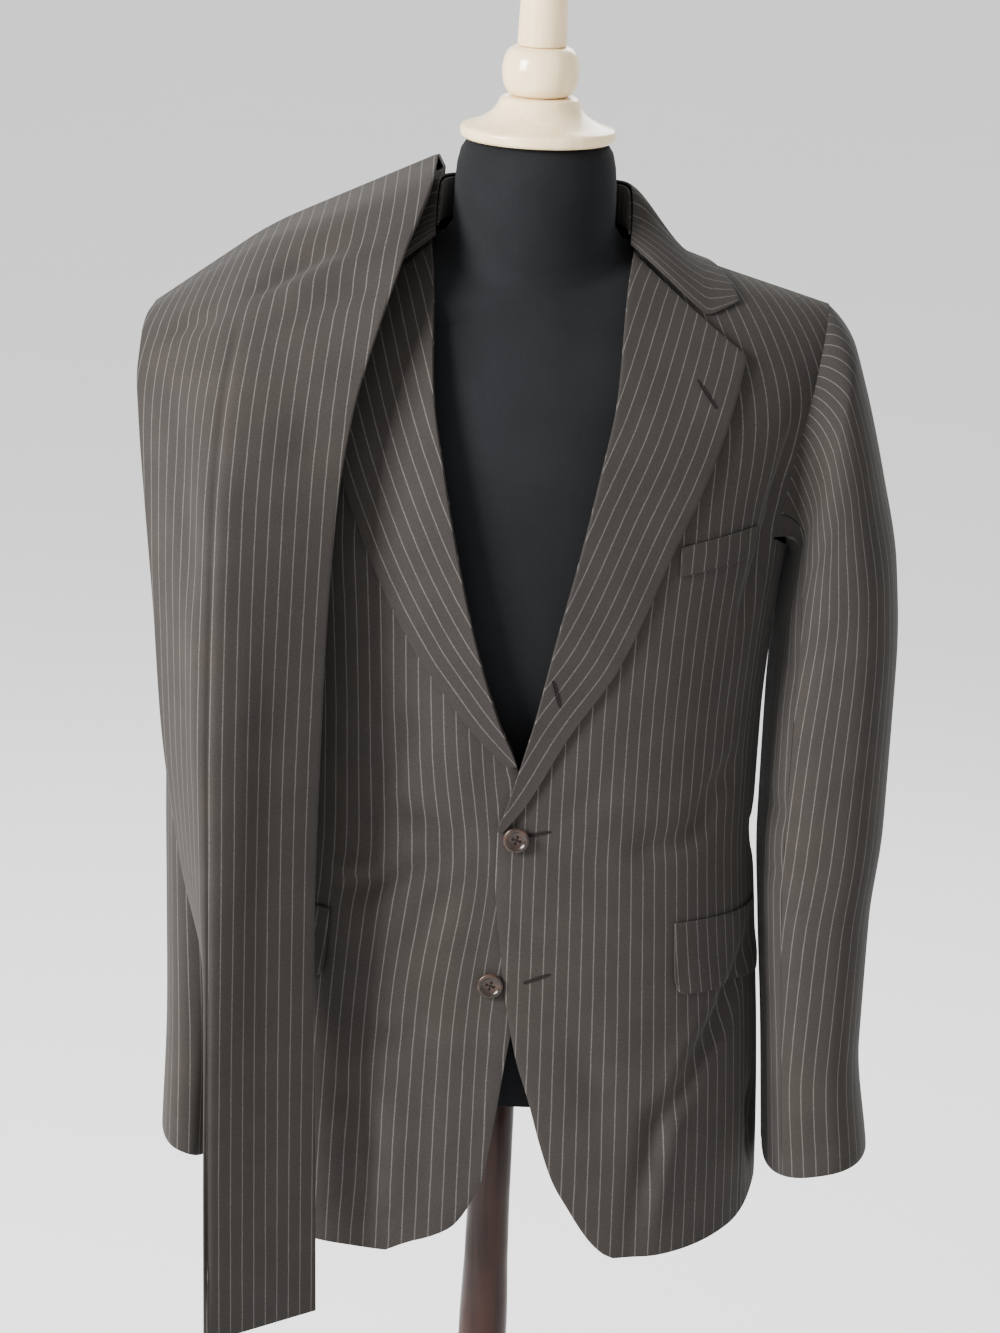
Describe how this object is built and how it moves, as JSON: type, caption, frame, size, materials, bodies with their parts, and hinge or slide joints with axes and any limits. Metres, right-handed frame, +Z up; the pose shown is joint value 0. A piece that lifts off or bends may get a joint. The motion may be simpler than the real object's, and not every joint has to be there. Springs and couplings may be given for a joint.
{
  "type": "two-piece suit on a dress form",
  "caption": "Pinstripe two-piece suit: buttoned notch-lapel jacket on a limbless dress form, folded trousers over one shoulder, on a stand.",
  "frame": {"origin": "centre of the stand's base on the floor", "axes": "+Z up, the chest faces -Y, +X is the wearer's left"},
  "size_m": [0.5687, 0.44, 1.63],
  "materials": {
    "pinstripe_wool": "dark charcoal brown worsted with a thin pale pinstripe",
    "horn_button": "dark brown mottled horn look, polished rim",
    "form_jersey": "black cotton jersey stretched over the form",
    "pale_lacquered_wood": "pale cream lacquer",
    "dark_stained_wood": "dark mahogany stain, satin"
  },
  "bodies": {
    "root": {"back_left": "pinstripe_wool", "back_right": "pinstripe_wool", "breast_welt": "pinstripe_wool", "button_low": "horn_button", "button_waist": "horn_button", "collar_fall": "pinstripe_wool", "collar_stand": "pinstripe_wool", "cuff_button_left_1": "horn_button", "cuff_button_left_2": "horn_button", "cuff_button_left_3": "horn_button", "cuff_button_left_4": "horn_button", "cuff_button_right_1": "horn_button", "cuff_button_right_2": "horn_button", "cuff_button_right_3": "horn_button", "cuff_button_right_4": "horn_button", "form_base": "dark_stained_wood", "form_bead": "pale_lacquered_wood", "form_finial_pole": "pale_lacquered_wood", "form_neck_cap": "pale_lacquered_wood", "form_post": "dark_stained_wood", "form_torso": "form_jersey", "front_left": "pinstripe_wool", "front_right": "pinstripe_wool", "lapel_left": "pinstripe_wool", "lapel_right": "pinstripe_wool", "pocket_flap_left": "pinstripe_wool", "pocket_flap_right": "pinstripe_wool", "side_body_left": "pinstripe_wool", "side_body_right": "pinstripe_wool", "top_sleeve_left": "pinstripe_wool", "top_sleeve_right": "pinstripe_wool", "trouser_leg_left": "pinstripe_wool", "trouser_leg_right": "pinstripe_wool", "trouser_seat": "pinstripe_wool", "trouser_waistband": "pinstripe_wool", "under_sleeve_left": "pinstripe_wool", "under_sleeve_right": "pinstripe_wool"}
  },
  "joints": []
}
